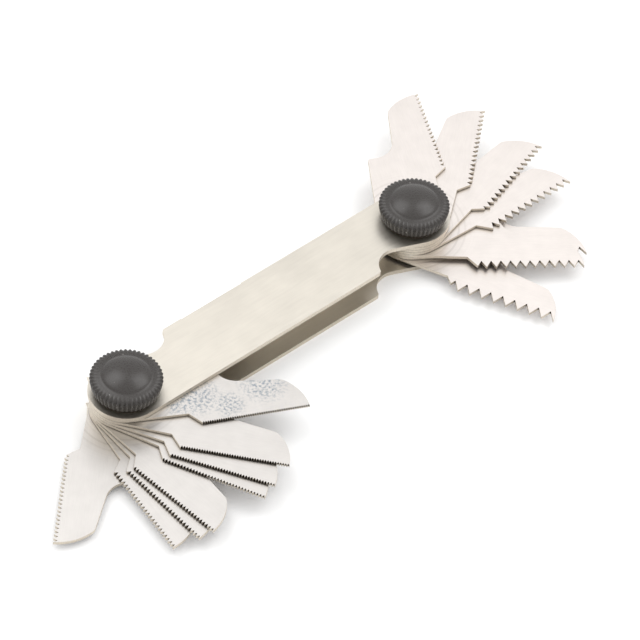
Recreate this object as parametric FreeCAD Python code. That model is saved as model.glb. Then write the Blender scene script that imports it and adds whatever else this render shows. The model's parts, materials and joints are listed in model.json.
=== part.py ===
"""Double-ended thread pitch gauge with sixty-degree leaves in threads per inch.

A folded sheet-steel case holds two fans of toothed leaves. Each fan turns on a stud
that is riveted into the bottom plate, and a moulded knob on the stud clamps it.

Frame, in millimetres: X runs along the case from the left stud to the right stud,
Z points up through the studs, and the origin is on the underside of the case, midway
between the studs. The case lies flat on that underside.
"""

import FreeCAD, Part
import math
import os

V = FreeCAD.Vector
UP = V(0, 0, 1)
INCH = 25.4

# Case: two plates of one outline, joined by a folded web on the far side
stud_spacing = 53.1
case_end_radius = 5.35
sheet = 0.7
web_from_left_stud = 14.2
web_length = 11.0
web_inner_bend = 0.2
web_blend = 0.4
notch_radius = 3.15
notch_from_stud = 7.65
notch_outside_edge = 0.65
notch_corner_radius = 0.5

# Leaves: values and order run from the top of each fan to the bottom
left_threads_per_inch = [80, 72, 64, 56, 48, 44, 40, 36]
right_threads_per_inch = [32, 28, 24, 20, 18, 16, 14]
leaf_thickness = 0.5
leaf_clearance = 0.02
leaf_end_radius = 5.1
tooth_line = 7.5
leaf_reach = 24.4
step_corner = (7.6, -5.5)
step_angle = 51.5
tip_radius = 7.1
head_from_tip = (-2.7, 5.45)
head_fillet = 1.4
neck_corner = (12.9, -0.65)
neck_fillet = 3.2
back_corner = (12.9, 3.3)
back_fillet = 0.5

# Teeth: straight flanks that meet in sharp crests and sharp roots
flank_angle = 60.0
comb_overrun = 0.4

# Heading of each tooth row from the X axis, top leaf first
left_headings = [-26.2, -50.7, -59.1, -64.1, -84.4, -89.1, -97.4, -134.4]
right_headings = [63.7, 40.5, 16.9, -0.2, -37.1, -30.2, -61.8]

# Studs, riveted flush into the bottom plate
stud_radius = 1.5
rivet_head_radius = 2.3
running_clearance = 0.05

# Clamp washers, and the spacer under the shorter fan
washer_radius = 4.3
washer_thickness = 0.5
spacer_radius = 4.6

# Knobs: foot, ribbed wall, sloping shoulder and domed top
knob_radius = 5.15
knob_foot_radius = 4.3
knob_wall_foot_radius = 4.85
knob_wall_foot_height = 0.4
knob_wall_height = 2.0
dome_radius = 3.4
dome_foot_height = 2.55
dome_height = 3.4
rib_count = 48
rib_depth = 0.3

# Thin hexagonal nuts moulded into the knobs
nut_across_flats = 5.5
nut_height = 1.8
nut_side_clearance = 0.01
stud_above_nut = 0.2
nut_cavity_height = 0.4

leaf_layer = leaf_thickness + leaf_clearance
gap = len(left_threads_per_inch) * leaf_layer + leaf_clearance
case_height = 2 * sheet + gap
stack_top = case_height - sheet - leaf_clearance
bore_radius = stud_radius + running_clearance
knob_base = case_height + washer_thickness
left_stud = V(-stud_spacing / 2, 0, 0)
right_stud = V(stud_spacing / 2, 0, 0)


def polar(radius, degrees):
    angle = math.radians(degrees)
    return V(radius * math.cos(angle), radius * math.sin(angle), 0)


def heading_of(vector):
    return math.degrees(math.atan2(vector.y, vector.x))


def flat(point):
    return V(point[0], point[1], 0)


def line(start, end):
    return Part.LineSegment(start, end).toShape()


def arc_about(centre, radius, first, last):
    """Arc from one heading to another about a centre, the short signed way given."""
    start = centre + polar(radius, first)
    middle = centre + polar(radius, (first + last) / 2)
    end = centre + polar(radius, last)
    return Part.Arc(start, middle, end).toShape()


def extruded(edges, direction):
    outline = Part.Wire(Part.__sortEdges__(edges))
    return Part.Face(outline).extrude(direction)


def slab(edges, bottom, height):
    """Plate with the given outline, standing on the level called bottom."""
    solid = extruded(edges, UP * height)
    solid.translate(UP * bottom)
    return solid


def ring(outer, inner, bottom, height, axis):
    start = axis + UP * bottom
    return Part.makeCylinder(outer, height, start).cut(Part.makeCylinder(inner, height, start))


def round_upright(solid, corner, radius):
    """Round the upright edge that stands at one corner of the plan."""
    edges = []
    for edge in solid.Edges:
        spots = [vertex.Point for vertex in edge.Vertexes]
        if all(math.hypot(spot.x - corner.x, spot.y - corner.y) < 1e-4 for spot in spots):
            edges.append(edge)
    return solid.makeFillet(radius, edges)


# Case

def notch_centre():
    """Centre of the right thumb notch, which opens on the near side."""
    return right_stud + V(-notch_from_stud, -case_end_radius - notch_outside_edge, 0)


def notch_start():
    """Corner where the near edge turns into the right thumb notch."""
    half_chord = math.sqrt(notch_radius ** 2 - notch_outside_edge ** 2)
    return notch_centre() + V(-half_chord, notch_outside_edge, 0)


def half_outline():
    """Near half of a plate: long edge, notch, the flare tangent to both, round end."""
    notch = notch_centre()
    start = notch_start()
    across = right_stud - notch
    turn = math.degrees(math.asin((notch_radius + case_end_radius) / across.Length))
    normal = heading_of(across) - turn + 90
    return [
        line(left_stud - V(0, case_end_radius, 0), start),
        arc_about(notch, notch_radius, heading_of(start - notch), normal),
        line(notch + polar(notch_radius, normal), right_stud - polar(case_end_radius, normal)),
        arc_about(right_stud, case_end_radius, normal - 180, 90),
    ]


def plate(bottom):
    near = half_outline()
    far = [edge.rotated(V(0, 0, 0), UP, 180) for edge in near]
    solid = slab(near + far, bottom, sheet)
    corner = notch_start()
    solid = round_upright(solid, corner, notch_corner_radius)
    return round_upright(solid, -corner, notch_corner_radius)


def fold_profile(outside, inside, x):
    """U of folded sheet seen along X, open toward the near side."""
    bend = web_inner_bend + sheet
    low = V(x, outside - bend, bend)
    high = V(x, outside - bend, case_height - bend)
    far = V(0, 1, 0)
    edges = []
    for centre, drop in [(low, -1), (high, 1)]:
        slant = V(0, math.sqrt(0.5), drop * math.sqrt(0.5))
        for radius in [bend, web_inner_bend]:
            flat_end = centre + UP * (drop * radius)
            side_end = centre + far * radius
            edges.append(Part.Arc(flat_end, centre + slant * radius, side_end).toShape())
            edges.append(line(V(x, inside, flat_end.z), flat_end))
        edges.append(line(V(x, inside, flat_end.z), V(x, inside, centre.z + drop * bend)))
    for radius in [bend, web_inner_bend]:
        edges.append(line(low + far * radius, high + far * radius))
    return edges


def case_shell():
    start = left_stud.x + web_from_left_stud
    inside = case_end_radius - sheet - web_inner_bend - web_blend
    shell = plate(0).fuse(plate(case_height - sheet))
    strip = Part.makeBox(web_length, 2 * sheet + 1, case_height, V(start, inside, 0))
    web = extruded(fold_profile(case_end_radius, inside, start), V(web_length, 0, 0))
    shell = shell.cut(strip).fuse(web).removeSplitter()
    for axis in [left_stud, right_stud]:
        shell = shell.cut(rivet_head(axis))
        shell = shell.cut(Part.makeCylinder(bore_radius, 2 * sheet, axis + UP * (case_height - sheet)))
    return shell


# Studs, washers and spacer

def rivet_head(axis):
    """Countersunk head that fills its seat in the bottom plate."""
    return Part.makeCone(rivet_head_radius, stud_radius, sheet, axis)


def pivot_stud(axis):
    shaft = Part.makeCylinder(stud_radius, knob_base + nut_height + stud_above_nut, axis)
    return shaft.fuse(rivet_head(axis)).removeSplitter()


def clamp_washer(axis):
    return ring(washer_radius, bore_radius, case_height, washer_thickness, axis)


def stack_spacer(axis):
    return ring(spacer_radius, bore_radius, sheet, leaf_layer, axis)


# Knobs

def hexagon(across_flats, height, axis):
    corners = [polar(across_flats / math.sqrt(3), 60 * k) for k in range(7)]
    solid = Part.Face(Part.makePolygon(corners)).extrude(UP * height)
    solid.translate(axis + UP * knob_base)
    return solid


def knob_nut(axis):
    bore = Part.makeCylinder(bore_radius, nut_height, axis + UP * knob_base)
    return hexagon(nut_across_flats, nut_height, axis).cut(bore)


def rib_ring(radius, height):
    """Outline of the ribbed wall at one height: a crest and a root for each rib."""
    corners = []
    for k in range(2 * rib_count):
        reach = radius - rib_depth * (k % 2)
        corners.append(polar(reach, 180 * k / rib_count) + UP * height)
    return Part.makePolygon(corners + corners[:1])


def knob_blank():
    """Knob before its hollows, standing on the origin."""
    foot_root = knob_wall_foot_radius - rib_depth
    top_root = knob_radius - rib_depth
    foot = Part.makeCone(knob_foot_radius, foot_root, knob_wall_foot_height)
    wall = Part.makeLoft([rib_ring(knob_wall_foot_radius, knob_wall_foot_height),
                          rib_ring(knob_radius, knob_wall_height)], True, True)
    shoulder = Part.makeCone(top_root, dome_radius, dome_foot_height - knob_wall_height,
                             UP * knob_wall_height)
    return foot.fuse([wall, shoulder, dome()])


def dome():
    """Spherical cap on top of the shoulder."""
    rise = dome_height - dome_foot_height
    sphere_radius = (dome_radius ** 2 + rise ** 2) / (2 * rise)
    edge = V(dome_radius, 0, dome_foot_height)
    top = V(0, 0, dome_height)
    foot = V(0, 0, dome_foot_height)
    lean = math.asin(dome_radius / sphere_radius) / 2
    middle = top + V(math.sin(lean), 0, math.cos(lean) - 1) * sphere_radius
    edges = [Part.Arc(edge, middle, top).toShape(), line(top, foot), line(foot, edge)]
    return Part.Face(Part.Wire(edges)).revolve(V(0, 0, 0), UP, 360)


def knob(axis):
    cavity_height = nut_height + stud_above_nut + nut_cavity_height
    solid = knob_blank()
    solid.translate(axis + UP * knob_base)
    pocket = hexagon(nut_across_flats + 2 * nut_side_clearance, nut_height, axis)
    cavity = Part.makeCylinder(bore_radius, cavity_height, axis + UP * knob_base)
    return solid.cut(pocket).cut(cavity)


# Leaves

def touch_on_end(corner, side):
    """Point where a straight edge from a corner touches the round end of a leaf."""
    swing = math.degrees(math.acos(leaf_end_radius / corner.Length))
    return polar(leaf_end_radius, heading_of(corner) + side * swing)


def leaf_blank():
    """Leaf before its teeth: pivot at the origin, tooth row along X on the near side."""
    step = flat(step_corner)
    back = flat(back_corner)
    neck = flat(neck_corner)
    tip = V(leaf_reach, -tooth_line, 0)
    head = tip + flat(head_from_tip)
    drop = tooth_line + comb_overrun + step.y
    step_foot = step + V(drop / math.tan(math.radians(step_angle)), -drop, 0)
    tip_foot = tip - V(0, comb_overrun, 0)
    chord = tip - head
    sagitta = tip_radius - math.sqrt(tip_radius ** 2 - chord.Length ** 2 / 4)
    bulge = (head + tip) / 2 + V(-chord.y, chord.x, 0).normalize() * sagitta
    far_touch = touch_on_end(back, 1)
    near_touch = touch_on_end(step, -1)
    edges = [
        Part.Arc(far_touch, V(-leaf_end_radius, 0, 0), near_touch).toShape(),
        line(near_touch, step),
        line(step, step_foot),
        line(step_foot, tip_foot),
        line(tip_foot, tip),
        Part.Arc(tip, bulge, head).toShape(),
        line(head, neck),
        line(neck, back),
        line(back, far_touch),
    ]
    blank = slab(edges, 0, leaf_thickness)
    for corner, radius in [(head, head_fillet), (neck, neck_fillet), (back, back_fillet)]:
        blank = round_upright(blank, corner, radius)
    return blank


def tooth_comb(pitch):
    """Cutter that leaves the teeth: sharp crests on the tooth line, sharp roots above it."""
    crest = -tooth_line
    depth = pitch / (2 * math.tan(math.radians(flank_angle / 2)))
    row_start = step_corner[0] + (tooth_line + step_corner[1]) / math.tan(math.radians(step_angle))
    right = leaf_reach + tip_radius
    below = crest - 2 * comb_overrun
    corners = [V(right, below, 0), V(right, crest, 0)]
    tooth = leaf_reach
    while tooth > row_start + 0.35 * pitch:
        corners.append(V(tooth, crest, 0))
        corners.append(V(tooth - pitch / 2, crest + depth, 0))
        tooth = tooth - pitch
    left = tooth - 2 * comb_overrun
    corners.extend([V(tooth, crest, 0), V(left, crest, 0), V(left, below, 0)])
    cutter = Part.Face(Part.makePolygon(corners + corners[:1])).extrude(UP * (3 * leaf_thickness))
    cutter.translate(UP * -leaf_thickness)
    return cutter


def leaf(threads, heading, layer, axis):
    solid = leaf_blank().cut(tooth_comb(INCH / threads))
    solid = solid.cut(Part.makeCylinder(bore_radius, leaf_thickness))
    solid.rotate(V(0, 0, 0), UP, heading)
    solid.translate(axis + UP * (stack_top - leaf_thickness - layer * leaf_layer))
    return solid


def fan(threads_per_inch, headings, axis):
    pieces = {}
    for layer, (threads, heading) in enumerate(zip(threads_per_inch, headings)):
        pieces["leaf_%d_tpi" % threads] = leaf(threads, heading, layer, axis)
    return pieces


def all_pieces():
    pieces = {"case_shell": case_shell(), "right_stack_spacer": stack_spacer(right_stud)}
    for side, axis in [("left", left_stud), ("right", right_stud)]:
        pieces[side + "_pivot_stud"] = pivot_stud(axis)
        pieces[side + "_clamp_washer"] = clamp_washer(axis)
        pieces[side + "_knob"] = knob(axis)
        pieces[side + "_knob_nut"] = knob_nut(axis)
    pieces.update(fan(left_threads_per_inch, left_headings, left_stud))
    pieces.update(fan(right_threads_per_inch, right_headings, right_stud))
    return pieces


def export():
    os.makedirs("parts", exist_ok=True)
    for name, shape in all_pieces().items():
        shape.exportStep("parts/%s.step" % name)


export()
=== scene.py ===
"""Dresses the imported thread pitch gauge: finishes, bevelled sheet parts, moulded knobs and a studio."""

import json
import math

import bmesh
import bpy
from bpy.props import FloatProperty, FloatVectorProperty, IntProperty, PointerProperty
from bpy.types import Operator, Panel, PropertyGroup
from mathutils import Matrix, Vector


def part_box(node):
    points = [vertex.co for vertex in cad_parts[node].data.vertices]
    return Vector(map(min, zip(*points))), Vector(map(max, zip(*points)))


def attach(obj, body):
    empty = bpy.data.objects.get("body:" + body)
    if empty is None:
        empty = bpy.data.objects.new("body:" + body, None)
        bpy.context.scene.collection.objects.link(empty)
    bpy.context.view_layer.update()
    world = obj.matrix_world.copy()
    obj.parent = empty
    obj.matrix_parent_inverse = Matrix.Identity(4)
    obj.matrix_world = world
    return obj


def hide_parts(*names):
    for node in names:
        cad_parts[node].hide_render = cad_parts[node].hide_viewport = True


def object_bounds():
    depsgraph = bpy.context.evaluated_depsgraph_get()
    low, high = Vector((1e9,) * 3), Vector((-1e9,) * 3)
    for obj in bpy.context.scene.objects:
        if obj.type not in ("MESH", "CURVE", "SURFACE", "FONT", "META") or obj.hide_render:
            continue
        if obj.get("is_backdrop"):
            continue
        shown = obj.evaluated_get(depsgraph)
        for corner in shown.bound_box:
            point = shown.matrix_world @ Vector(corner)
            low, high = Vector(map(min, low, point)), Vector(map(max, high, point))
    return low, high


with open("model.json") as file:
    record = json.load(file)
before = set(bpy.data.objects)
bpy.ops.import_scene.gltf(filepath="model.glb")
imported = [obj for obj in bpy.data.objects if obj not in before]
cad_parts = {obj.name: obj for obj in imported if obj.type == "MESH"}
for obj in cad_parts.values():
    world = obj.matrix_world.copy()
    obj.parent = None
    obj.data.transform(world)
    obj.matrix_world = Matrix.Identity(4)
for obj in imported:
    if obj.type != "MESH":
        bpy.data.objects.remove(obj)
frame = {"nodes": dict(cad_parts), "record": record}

bl_info = {
    "name": "Thread pitch gauge dressing",
    "version": (1, 0, 0),
    "blender": (4, 5, 0),
    "location": "View3D > Sidebar > Pitch gauge",
    "description": "Finishes and studio for a double-ended thread pitch gauge",
    "category": "Object",
}

MM = 0.001
SIDES = ("left", "right")
TIP_ANGLE = math.atan2(-7.5, 24.4)  # from a leaf's tooth row to its tip, seen from its stud
FLAT_NORMAL = 0.9                   # faces steeper than this are cut edges
FLATNESS = math.radians(0.5)        # faces that meet at less than this are one flat face
BEVEL_ANGLE = math.radians(25)      # edges sharper than this are rounded
PLAN_MAP = "leaf_plan"
POINTS_PER_RIB = 8
RIB_ROUNDNESS = 0.6
DOME_RINGS = 12

# The case's outer bends as the solid has them, as they are drawn, and how far a point may be off.
SOFT_BEND, CRISP_BEND, BEND_SLACK = 0.9 * MM, 0.25 * MM, 0.015 * MM

# Stained patches of the uppermost left leaf: place in its own plane, and radius, in mm.
STAINS = [((9.3, -2.6), 4.6), ((6.9, -3.2), 3.4), ((19.0, -2.2), 4.6), ((13.5, -5.0), 3.0)]

# What the camera aims at, from the case's middle: right and up in its own view, and up, in mm.
AIM_RIGHT, AIM_UP, AIM_HEIGHT = 6.963, 0.583, 0.58

# Softboxes either side of the direction in which the camera looks, in metres and watts.
SOFTBOXES = {"right_softbox": (0.37, -0.014, 0.59), "left_softbox": (-0.025, 0.37, 0.59)}
SOFTBOX_SIZE, SOFTBOX_POWER = (0.35, 0.35), 0.8
FLOOR_SIZE = 3
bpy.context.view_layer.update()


def linear(code):
    """Linear RGBA from an sRGB hex code."""
    channels = [int(code[i:i + 2], 16) / 255 for i in (1, 3, 5)]
    return tuple(c / 12.92 if c <= 0.04045 else ((c + 0.055) / 1.055) ** 2.4
                 for c in channels) + (1.0,)


def per_mm(size):
    """Texture scale, per metre, at which one pattern cell is the given size in mm."""
    return 1 / (size * MM)


def colour_prop(name, description, code):
    """A colour setting with an sRGB hex default."""
    return FloatVectorProperty(name=name, description=description, subtype="COLOR",
                               size=4, min=0, max=1, default=linear(code))


def size_prop(name, description, millimetres):
    """A length setting with its default in millimetres."""
    return FloatProperty(name=name, description=description, unit="LENGTH",
                         default=millimetres * MM, min=0, precision=5)


# ------------------------------------------------------------ settings

class GaugeSheetSettings(PropertyGroup):
    """Sheet-steel parts: case, leaves and washers."""
    case_bevel: size_prop("Case edge", "Rounding of the case's tumbled edges", 0.09)
    leaf_bevel: size_prop("Leaf edge", "Rounding of the leaves' blanked edges", 0.03)
    case_colour: colour_prop("Case", "Satin nickel over steel", "#DFD9CE")
    left_leaf_colour: colour_prop("Left leaves", "Cold-rolled spring steel, fine pitches",
                                  "#D9D5D1")
    # The right leaves are the same steel as the left; their lighter tone is painted light, for the extra
    # light that falls on the right fan.
    right_leaf_lit_colour: colour_prop("Right leaves", "Cold-rolled spring steel, coarse pitches",
                                   "#ECE5E0")
    edge_colour: colour_prop("Cut edges", "Clean blanked edges", "#DAD1C2")
    # Painted shade: the gaps between sheets are darkened toward this colour where another sheet shades
    # them.
    gap_shade_colour: colour_prop("Oil", "Oil and dirt held in the gaps between sheets", "#4A4035")
    # This colour is drawn as darker mottled rings round each stud.
    stud_ring_colour: colour_prop("Rubbed arcs", "Steel dulled where leaves slide", "#8F887E")
    stain_colour: colour_prop("Stains", "Blue-grey heat and fingerprint stains", "#7E8B97")


class GaugeKnobSettings(PropertyGroup):
    """Moulded clamp knobs."""
    rib_count: IntProperty(name="Ribs", description="Ribs round each knob", default=48, min=12)
    rib_depth: size_prop("Rib depth", "Depth of the grooves between ribs", 0.3)
    knob_colour: colour_prop("Knobs", "Black moulded plastic", "#322E2B")
    dust_colour: colour_prop("Dust", "Pale dust on the knobs", "#C9C6C0")


class GaugeStageSettings(PropertyGroup):
    """Floor, light and camera."""
    floor_colour: colour_prop("Floor", "Plain pale floor", "#FFFFFF")
    camera_pitch: FloatProperty(name="Look down", description="Camera's angle below level",
                                subtype="ANGLE", default=math.radians(48.52))
    camera_heading: FloatProperty(name="Heading", description="Camera's heading from the case's length",
                                  subtype="ANGLE", default=math.radians(45.84))
    camera_roll: FloatProperty(name="Roll", description="Camera's roll",
                               subtype="ANGLE", default=math.radians(4.66))
    camera_distance: size_prop("Distance", "Camera's distance from the case", 583.64)
    lens: FloatProperty(name="Lens", description="Focal length in mm", default=231.1, min=10)


# ----------------------------------------------------------- materials

def add_node(tree, kind, inputs=None, **settings):
    """Adds a node, sets its settings, and fills or links its inputs by name or number."""
    node = tree.nodes.new(kind)
    for key, value in settings.items():
        setattr(node, key, value)
    for key, value in (inputs or {}).items():
        if isinstance(value, bpy.types.NodeSocket):
            tree.links.new(value, node.inputs[key])
        else:
            node.inputs[key].default_value = value
    return node


def new_material(name, **sockets):
    """A material with one Principled shader, whose constant sockets are given by name."""
    material = bpy.data.materials.new(name)
    material.use_nodes = True
    tree = material.node_tree
    shader = tree.nodes["Principled BSDF"]
    for key, value in sockets.items():
        shader.inputs[key.replace("_", " ")].default_value = value
    return material, tree, shader


def ramp(tree, factor, stops):
    """Colour ramp with (position, colour) stops."""
    node = add_node(tree, "ShaderNodeValToRGB", {"Fac": factor})
    elements = node.color_ramp.elements
    elements[0].position, elements[0].color = stops[0]
    elements[1].position, elements[1].color = stops[-1]
    for position, colour in stops[1:-1]:
        elements.new(position).color = colour
    return node.outputs["Color"]


def grey(value):
    """A grey of the given linear value."""
    return (value, value, value, 1.0)


def mixed(tree, factor, first, second, blend="MIX"):
    """Two colours mixed by a factor."""
    node = add_node(tree, "ShaderNodeMix", {0: factor, 6: first, 7: second},
                    data_type="RGBA", blend_type=blend)
    return node.outputs[2]


def scaled_coordinates(tree, scale):
    """Object coordinates stretched per axis, so that a pattern follows the piece's length."""
    coordinates = add_node(tree, "ShaderNodeTexCoord")
    mapping = add_node(tree, "ShaderNodeMapping",
                       {"Vector": coordinates.outputs["Object"], "Scale": scale})
    return mapping.outputs["Vector"]


def noise(tree, vector, scale, detail, roughness=0.5):
    """Noise value, from 0 to 1."""
    node = add_node(tree, "ShaderNodeTexNoise",
                    {"Vector": vector, "Scale": scale, "Detail": detail, "Roughness": roughness})
    return node.outputs["Fac"]


def bump(tree, shader, height, distance):
    """Relief of the given depth, in mm."""
    node = add_node(tree, "ShaderNodeBump", {"Height": height, "Distance": distance * MM})
    tree.links.new(node.outputs["Normal"], shader.inputs["Normal"])


def painted_gap_shade(tree, reach, dark_at, open_at):
    """Mask of painted shade where another sheet lies within reach mm: 1 in the gap, 0 in the open."""
    open_share = add_node(tree, "ShaderNodeAmbientOcclusion", {"Distance": reach * MM}, samples=8)
    return ramp(tree, open_share.outputs["AO"], [(dark_at, grey(1.0)), (open_at, grey(0.0))])


def plan_coordinates(tree, scale):
    """A leaf's own coordinates: its stud as origin, its tooth row along X."""
    plan = add_node(tree, "ShaderNodeUVMap", uv_map=PLAN_MAP)
    return add_node(tree, "ShaderNodeMapping",
                    {"Vector": plan.outputs["UV"], "Scale": scale}).outputs["Vector"]


def patch(tree, vector, place, radius):
    """Soft round mask about a place in a leaf's own plane, in mm."""
    away = add_node(tree, "ShaderNodeVectorMath",
                    {0: vector, 1: (place[0] * MM, place[1] * MM, 0)}, operation="DISTANCE")
    return add_node(tree, "ShaderNodeMapRange",
                    {"Value": away.outputs["Value"], "From Min": 0.3 * radius * MM,
                     "From Max": radius * MM, "To Min": 1.0, "To Max": 0.0},
                    interpolation_type="SMOOTHSTEP").outputs["Result"]


def satin_nickel(colour):
    """Nickel-plated steel sheet, barrel finished: an even satin sheen with faint long streaks.
    Real streaks are finer than shows, so they are drawn 0.35 mm apart."""
    material, tree, shader = new_material("satin_nickel_plate", Metallic=1.0, Roughness=0.36)
    along = scaled_coordinates(tree, (0.08, 1.0, 1.0))
    streaks = noise(tree, along, per_mm(0.35), 4.0, 0.6)
    cloud = noise(tree, scaled_coordinates(tree, (1.0, 1.0, 1.0)), per_mm(6.0), 3.0)
    tint = ramp(tree, cloud, [(0.3, grey(0.93)), (0.7, grey(1.0))])
    shade = mixed(tree, 1.0, colour, tint, "MULTIPLY")
    fine = ramp(tree, streaks, [(0.3, grey(0.95)), (0.7, grey(1.0))])
    tree.links.new(mixed(tree, 1.0, shade, fine, "MULTIPLY"), shader.inputs["Base Color"])
    tree.links.new(ramp(tree, streaks, [(0.2, grey(0.30)), (0.8, grey(0.42))]),
                   shader.inputs["Roughness"])
    bump(tree, shader, streaks, 0.004)
    return material


def rolled_steel(name, colour, sheet, patches):
    """Cold-rolled spring steel: satin with fine rolling lines, darker mottled rings round the stud,
    painted shade beside each sheet that lies on it, and speckled stains.
    Real rolling lines are finer than shows, so they are drawn 0.16 mm apart."""
    material, tree, shader = new_material(name, Metallic=1.0, Roughness=0.36)
    plain = plan_coordinates(tree, (1.0, 1.0, 1.0))
    lines = noise(tree, plan_coordinates(tree, (0.06, 1.0, 1.0)), per_mm(0.16), 3.0, 0.6)
    cloud = noise(tree, plain, per_mm(3.0), 3.0)
    tone = mixed(tree, 1.0, colour, ramp(tree, cloud, [(0.3, grey(0.94)), (0.7, grey(1.0))]),
                 "MULTIPLY")
    tone = mixed(tree, 1.0, tone, ramp(tree, lines, [(0.3, grey(0.95)), (0.7, grey(1.0))]),
                 "MULTIPLY")
    reach = add_node(tree, "ShaderNodeVectorMath", {0: plain}, operation="LENGTH").outputs["Value"]
    rings = add_node(tree, "ShaderNodeTexNoise", {"W": reach, "Scale": per_mm(0.5), "Detail": 3.0},
                     noise_dimensions="1D").outputs["Fac"]
    # Darker mottled rings round the stud, fading out between about 3 and 10.5 mm from it.
    stud_rings = ramp(tree, rings, [(0.5, grey(0.0)), (0.66, grey(0.35))])
    stud_rings = mixed(tree, patch(tree, plain, (0, 0), 10.5), grey(0.0), stud_rings)
    tone = mixed(tree, stud_rings, tone, sheet.stud_ring_colour)
    if patches:
        speckle = noise(tree, plain, per_mm(0.42), 4.0, 0.7)
        where = grey(0.06)
        for place, radius in patches:
            where = mixed(tree, 1.0, where, patch(tree, plain, place, radius), "LIGHTEN")
        spots = ramp(tree, speckle, [(0.46, grey(0.0)), (0.62, grey(0.9))])
        spots = mixed(tree, 1.0, spots, where, "MULTIPLY")
        tone = mixed(tree, spots, tone, sheet.stain_colour)
    # Painted shade: the face darkens, to about half strength at most, beside each sheet that lies on it.
    gap_shade = painted_gap_shade(tree, 0.45, 0.35, 0.8)
    gap_shade = mixed(tree, 1.0, gap_shade, grey(0.55), "MULTIPLY")
    tree.links.new(mixed(tree, gap_shade, tone, sheet.gap_shade_colour), shader.inputs["Base Color"])
    tree.links.new(ramp(tree, lines, [(0.2, grey(0.30)), (0.8, grey(0.42))]),
                   shader.inputs["Roughness"])
    bump(tree, shader, lines, 0.002)
    return material


def cut_edge(name, colour, gap_shade_colour, dark_at, open_at):
    """Blanked or milled steel edges: light-toned, with torn grain across the thickness and
    painted shade where another sheet lies close below."""
    material, tree, shader = new_material(name, Metallic=1.0, Roughness=0.45)
    tear = noise(tree, scaled_coordinates(tree, (1.0, 1.0, 0.15)), per_mm(0.12), 3.0, 0.6)
    tone = mixed(tree, 1.0, colour, ramp(tree, tear, [(0.3, grey(0.85)), (0.7, grey(1.0))]),
                 "MULTIPLY")
    # Painted shade on the edge where another sheet lies close below.
    gap_shade = painted_gap_shade(tree, 0.6, dark_at, open_at)
    tree.links.new(mixed(tree, gap_shade, tone, gap_shade_colour), shader.inputs["Base Color"])
    bump(tree, shader, tear, 0.006)
    return material


def moulded_plastic(colour, dust_colour):
    """Black glass-filled nylon straight from the mould: half gloss, with a little dust."""
    material, tree, shader = new_material("moulded_black_nylon", Roughness=0.28, IOR=1.53)
    plain = scaled_coordinates(tree, (1.0, 1.0, 1.0))
    specks = add_node(tree, "ShaderNodeTexVoronoi", {"Vector": plain, "Scale": per_mm(1.3)})
    dust = ramp(tree, specks.outputs["Distance"], [(0.07, grey(0.9)), (0.12, grey(0.0))])
    kept = ramp(tree, specks.outputs["Color"], [(0.5, grey(0.0)), (0.55, grey(1.0))])
    dust = mixed(tree, 1.0, dust, kept, "MULTIPLY")
    tree.links.new(mixed(tree, dust, colour, dust_colour), shader.inputs["Base Color"])
    texture = noise(tree, plain, per_mm(0.25), 3.0)
    tree.links.new(ramp(tree, texture, [(0.3, grey(0.22)), (0.7, grey(0.36))]),
                   shader.inputs["Roughness"])
    bump(tree, shader, texture, 0.006)
    return material


def turned_metal(name, code, roughness):
    """Turned or stamped small metal parts: a fine even grain under a soft sheen."""
    material, tree, shader = new_material(name, Metallic=1.0, Roughness=roughness)
    grain = noise(tree, scaled_coordinates(tree, (1.0, 1.0, 1.0)), per_mm(0.2), 3.0)
    tone = mixed(tree, 1.0, linear(code), ramp(tree, grain, [(0.3, grey(0.85)), (0.7, grey(1.0))]),
                 "MULTIPLY")
    tree.links.new(tone, shader.inputs["Base Color"])
    bump(tree, shader, grain, 0.004)
    return material


# --------------------------------------------------------------- pieces


def body_holding(node):
    """The body whose nodes include this one."""
    for body, nodes in frame["record"]["behaviour"]["bodies"].items():
        if node in nodes:
            return body
    raise KeyError(node)


def tighten_fold(mesh):
    """Coins the two outer bends of the case's folded web down to a crisp edge."""
    low, high = (Vector(corner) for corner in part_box("case_shell"))
    for vertex in mesh.vertices:
        for outer in (low.z, high.z):
            inward = 1 if outer == low.z else -1
            arm = Vector((vertex.co.y - (high.y - SOFT_BEND),
                          (outer + inward * SOFT_BEND - vertex.co.z) * inward))
            on_bend = abs(arm.length - SOFT_BEND) < BEND_SLACK and min(arm) > -BEND_SLACK
            if on_bend and vertex.co.x < 0:
                arm.normalize()
                vertex.co.y = high.y - CRISP_BEND * (1 - arm.x)
                vertex.co.z = outer + inward * CRISP_BEND * (1 - arm.y)


def sheet_mesh(node):
    """Copy of a node's solid with its flat faces made whole."""
    work = bmesh.new()
    work.from_mesh(frame["nodes"][node].data)
    bmesh.ops.remove_doubles(work, verts=work.verts, dist=1e-7)
    bmesh.ops.dissolve_limit(work, angle_limit=FLATNESS, verts=work.verts, edges=work.edges)
    work.normal_update()
    mesh = bpy.data.meshes.new(node)
    work.to_mesh(mesh)
    work.free()
    for name in ("custom_normal", "sharp_edge", "sharp_face"):
        if name in mesh.attributes:
            mesh.attributes.remove(mesh.attributes[name])
    return mesh


def map_plan(mesh, place):
    """Gives a leaf its own plane coordinates, in metres, as a UV map."""
    plan = mesh.uv_layers.new(name=PLAN_MAP)
    back = place.inverted()
    for loop in mesh.loops:
        plan.data[loop.index].uv = (back @ mesh.vertices[loop.vertex_index].co).xy


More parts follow.
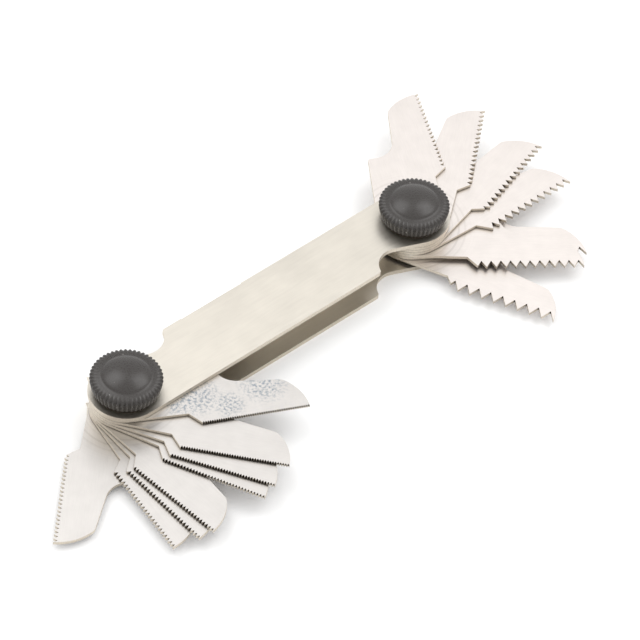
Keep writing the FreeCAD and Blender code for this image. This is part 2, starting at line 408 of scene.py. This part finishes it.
def dress(node, piece_name, materials, bevel, place=None):
    """Replaces a node by a bevelled copy with a face finish and, where a second is given, a cut-edge
    finish.
    """
    mesh = sheet_mesh(node)
    if place:
        map_plan(mesh, place)
    piece = bpy.data.objects.new(piece_name, mesh)
    bpy.context.collection.objects.link(piece)
    for material in materials:
        mesh.materials.append(material)
    if len(materials) > 1:
        for face in mesh.polygons:
            face.material_index = 0 if abs(face.normal.z) > FLAT_NORMAL else 1
    modifier = piece.modifiers.new("edge", "BEVEL")
    modifier.width = bevel
    modifier.segments = 1
    modifier.limit_method = "ANGLE"
    modifier.angle_limit = BEVEL_ANGLE
    modifier.harden_normals = True
    mesh.shade_smooth()
    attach(piece, body_holding(node))
    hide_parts(node)
    return piece


def finish_operator(self, count):
    """Ends an operator, with an error where it made nothing."""
    if not count:
        raise RuntimeError(self.bl_label + " made nothing")
    return {"FINISHED"}


class GAUGE_OT_dress_case(Operator):
    """Dress the folded case in satin nickel with tumbled edges"""
    bl_idname = "gauge.dress_case"
    bl_label = "Dress case"

    def execute(self, context):
        sheet = context.scene.gauge_sheet
        finish = satin_nickel(sheet.case_colour)
        edge = cut_edge("sheared_nickel_edge", sheet.edge_colour, sheet.gap_shade_colour, 0.1, 0.5)
        piece = dress("case_shell", "case", [finish, edge], sheet.case_bevel)
        tighten_fold(piece.data)
        return finish_operator(self, bool(piece))


class GAUGE_OT_dress_leaves(Operator):
    """Dress every toothed leaf with rolled faces and blanked edges"""
    bl_idname = "gauge.dress_leaves"
    bl_label = "Dress leaves"

    def execute(self, context):
        sheet = context.scene.gauge_sheet
        left = rolled_steel("rolled_spring_steel_fine", sheet.left_leaf_colour, sheet, [])
        # Painted light: the right fan's faces take the lighter copy of the same steel.
        right = rolled_steel("rolled_spring_steel_coarse", sheet.right_leaf_lit_colour, sheet, [])
        stained = rolled_steel("stained_spring_steel", sheet.left_leaf_colour, sheet, STAINS)
        edge = cut_edge("blanked_steel_edge", sheet.edge_colour, sheet.gap_shade_colour, 0.42, 0.72)
        count = 0
        for joint in frame["record"]["behaviour"]["joints"]:
            node = joint["child"]
            if not node.startswith("leaf_"):
                continue
            place = leaf_place(node, joint)
            face = right if place.translation.x > 0 else left
            if node == top_left_leaf():
                face = stained
            dress(node, node + "_blade", [face, edge], sheet.leaf_bevel, place)
            count += 1
        return finish_operator(self, count)


def top_left_leaf():
    """The uppermost leaf on the left stud."""
    leaves = [name for name in frame["nodes"] if name.startswith("leaf_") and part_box(name)[0][0] < 0]
    return max(leaves, key=lambda name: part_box(name)[1][2])


def leaf_place(node, joint):
    """Where a leaf lies: its stud as origin and its tooth row along X."""
    centre = Vector(joint["pos_m"])
    centre.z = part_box(node)[0][2]
    reach = [vertex.co - centre for vertex in frame["nodes"][node].data.vertices]
    tip = max(reach, key=lambda arm: arm.xy.length)
    heading = math.atan2(tip.y, tip.x) - TIP_ANGLE
    return Matrix.Translation(centre) @ Matrix.Rotation(heading, 4, "Z")


class GAUGE_OT_dress_fastenings(Operator):
    """Dress the studs, washers, spacer and nuts"""
    bl_idname = "gauge.dress_fastenings"
    bl_label = "Dress fastenings"

    def execute(self, context):
        # Washers and spacer are drawn in a dark tone.
        dark_washer_steel = turned_metal("dark_steel_washer", "#3F3932", 0.42)
        steel = turned_metal("riveted_mild_steel", "#C9C6C0", 0.38)
        brass = turned_metal("turned_brass_nut", "#C9A45C", 0.3)
        bevel = context.scene.gauge_sheet.leaf_bevel
        nodes = {"right_stack_spacer": dark_washer_steel}
        for side in SIDES:
            nodes[side + "_clamp_washer"] = dark_washer_steel
            nodes[side + "_pivot_stud"] = steel
            nodes[side + "_knob_nut"] = brass
        for node, finish in nodes.items():
            dress(node, node + "_part", [finish], bevel)
        return finish_operator(self, len(nodes))


class GAUGE_OT_mould_knobs(Operator):
    """Build both moulded knobs with rounded ribs, a sloping shoulder and a half-gloss dome"""
    bl_idname = "gauge.mould_knobs"
    bl_label = "Mould knobs"

    def execute(self, context):
        settings = context.scene.gauge_knob
        plastic = moulded_plastic(settings.knob_colour, settings.dust_colour)
        for side in SIDES:
            mould_knob(side, settings, plastic)
        return finish_operator(self, len(SIDES))


def knob_profile(radius, height):
    """Half section of the knob as (radius, height, rib share), from the foot to the dome's top."""
    rows = [(0.31, 0.0, 0), (0.835, 0.0, 0), (0.897, 0.018, 0.3), (0.932, 0.06, 0.8),
            (0.946, 0.12, 1), (0.961, 0.24, 1), (0.981, 0.38, 1), (0.994, 0.5, 1), (1.0, 0.56, 1),
            (0.994, 0.603, 1), (0.975, 0.641, 1), (0.942, 0.671, 0.85), (0.897, 0.694, 0.6),
            (0.85, 0.712, 0.3), (0.8, 0.724, 0.08), (0.748, 0.732, 0), (0.703, 0.741, 0),
            (0.67, 0.759, 0), (0.65, 0.782, 0)]
    profile = [(radius * r, height * z, rib) for r, z, rib in rows]
    rim, foot = profile[-1][:2]
    rise = height - foot
    sphere = (rim ** 2 + rise ** 2) / (2 * rise)
    for k in range(1, DOME_RINGS):
        reach = rim * (1 - k / DOME_RINGS)
        profile.append((reach, height - sphere + math.sqrt(sphere ** 2 - reach ** 2), 0))
    return profile


def mould_knob(side, settings, plastic):
    """Stands a moulded knob, turned from its profile and ribbed, in place of the plain solid."""
    node = side + "_knob"
    low, high = (Vector(corner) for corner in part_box(node))
    centre = (low + high) / 2
    radius = (high.x - low.x) / 2
    profile = knob_profile(radius, high.z - low.z)
    around = settings.rib_count * POINTS_PER_RIB
    work = bmesh.new()
    rings = []
    for reach, height, rib in profile:
        ring = []
        for k in range(around):
            wave = (1 + math.cos(2 * math.pi * k / POINTS_PER_RIB)) / 2
            dip = settings.rib_depth * rib * (1 - wave ** RIB_ROUNDNESS)
            angle = 2 * math.pi * k / around
            ring.append(work.verts.new(((reach - dip) * math.cos(angle),
                                        (reach - dip) * math.sin(angle), height)))
        rings.append(ring)
    for lower, upper in zip(rings, rings[1:]):
        for k in range(around):
            n = (k + 1) % around
            work.faces.new((lower[k], lower[n], upper[n], upper[k]))
    top = work.verts.new((0, 0, high.z - low.z))
    for k in range(around):
        work.faces.new((rings[-1][k], rings[-1][(k + 1) % around], top))
    work.faces.new(list(reversed(rings[0])))
    work.normal_update()
    mesh = bpy.data.meshes.new(node + "_moulding")
    work.to_mesh(mesh)
    work.free()
    mesh.shade_smooth()
    mesh.materials.append(plastic)
    piece = bpy.data.objects.new(node + "_moulding", mesh)
    bpy.context.collection.objects.link(piece)
    piece.matrix_world = Matrix.Translation((centre.x, centre.y, low.z))
    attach(piece, body_holding(node))
    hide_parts(node)


# ---------------------------------------------------------------- stage

def softbox(name, place):
    """A soft rectangular lamp that faces the case's middle."""
    data = bpy.data.lights.new(name, "AREA")
    data.shape = "RECTANGLE"
    data.size, data.size_y = SOFTBOX_SIZE
    data.energy = SOFTBOX_POWER
    lamp = bpy.data.objects.new(name, data)
    bpy.context.collection.objects.link(lamp)
    lamp.location = place
    lamp.rotation_euler = (-Vector(place)).to_track_quat("-Z", "Y").to_euler()


def build_floor(settings):
    """White floor that takes the part's shadow."""
    low = Vector(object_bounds()[0])
    bpy.ops.mesh.primitive_plane_add(size=FLOOR_SIZE, location=(0, 0, low.z))
    floor = bpy.context.object
    floor.name = "floor"
    material = new_material("matt_white_paper", Roughness=0.9,
                            Base_Color=settings.floor_colour)[0]
    floor.data.materials.append(material)
    floor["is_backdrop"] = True


def build_world():
    """Even studio surround that the metal mirrors, pure white behind the part."""
    world = bpy.data.worlds.new("studio")
    bpy.context.scene.world = world
    world.use_nodes = True
    tree = world.node_tree
    sky = tree.nodes["Background"]
    sky.inputs["Color"].default_value = linear("#FFFFFF")
    sky.inputs["Strength"].default_value = 1.0


def build_camera(settings):
    """Camera that looks down on the case from its near side."""
    heading, pitch, roll = settings.camera_heading, settings.camera_pitch, settings.camera_roll
    look = Vector((math.cos(pitch) * math.cos(heading), math.cos(pitch) * math.sin(heading),
                   -math.sin(pitch)))
    level = look.cross(Vector((0, 0, 1))).normalized()
    upright = level.cross(look)
    right = level * math.cos(roll) + upright * math.sin(roll)
    up = upright * math.cos(roll) - level * math.sin(roll)
    place = (right * AIM_RIGHT + up * AIM_UP + Vector((0, 0, AIM_HEIGHT))) * MM
    place = place - look * settings.camera_distance
    data = bpy.data.cameras.new("camera")
    data.lens = settings.lens
    data.sensor_width = 36
    data.clip_end = 10
    camera = bpy.data.objects.new("camera", data)
    bpy.context.collection.objects.link(camera)
    axes = Matrix((right, up, -look)).transposed().to_4x4()
    camera.matrix_world = Matrix.Translation(place) @ axes
    bpy.context.scene.camera = camera


class GAUGE_OT_build_stage(Operator):
    """Build the floor, the surround, the lights and the camera"""
    bl_idname = "gauge.build_stage"
    bl_label = "Build stage"

    def execute(self, context):
        settings = context.scene.gauge_stage
        build_floor(settings)
        build_world()
        for name, place in SOFTBOXES.items():
            softbox(name, place)
        build_camera(settings)
        context.scene.view_settings.view_transform = "Standard"
        return finish_operator(self, context.scene.camera is not None)


class GAUGE_PT_dressing(Panel):
    """Sizes, colours and build steps of the gauge"""
    bl_label = "Pitch gauge"
    bl_space_type = "VIEW_3D"
    bl_region_type = "UI"
    bl_category = "Pitch gauge"

    def draw(self, context):
        for group in (context.scene.gauge_sheet, context.scene.gauge_knob,
                      context.scene.gauge_stage):
            box = self.layout.box()
            for name in group.__annotations__:
                box.prop(group, name)
        for operator in OPERATORS:
            self.layout.operator(operator.bl_idname)


SETTINGS = {"gauge_sheet": GaugeSheetSettings, "gauge_knob": GaugeKnobSettings,
            "gauge_stage": GaugeStageSettings}
OPERATORS = (GAUGE_OT_dress_case, GAUGE_OT_dress_leaves, GAUGE_OT_dress_fastenings,
             GAUGE_OT_mould_knobs, GAUGE_OT_build_stage)


def register():
    for group in SETTINGS.values():
        bpy.utils.register_class(group)
    for name, group in SETTINGS.items():
        setattr(bpy.types.Scene, name, PointerProperty(type=group))
    for operator in OPERATORS:
        bpy.utils.register_class(operator)
    bpy.utils.register_class(GAUGE_PT_dressing)


def unregister():
    bpy.utils.unregister_class(GAUGE_PT_dressing)
    for operator in reversed(OPERATORS):
        bpy.utils.unregister_class(operator)
    for name, group in reversed(SETTINGS.items()):
        delattr(bpy.types.Scene, name)
        bpy.utils.unregister_class(group)


def main():
    register()
    bpy.ops.gauge.dress_case()
    bpy.ops.gauge.dress_leaves()
    bpy.ops.gauge.dress_fastenings()
    bpy.ops.gauge.mould_knobs()
    bpy.ops.gauge.build_stage()


if __name__ == "__main__":
    main()
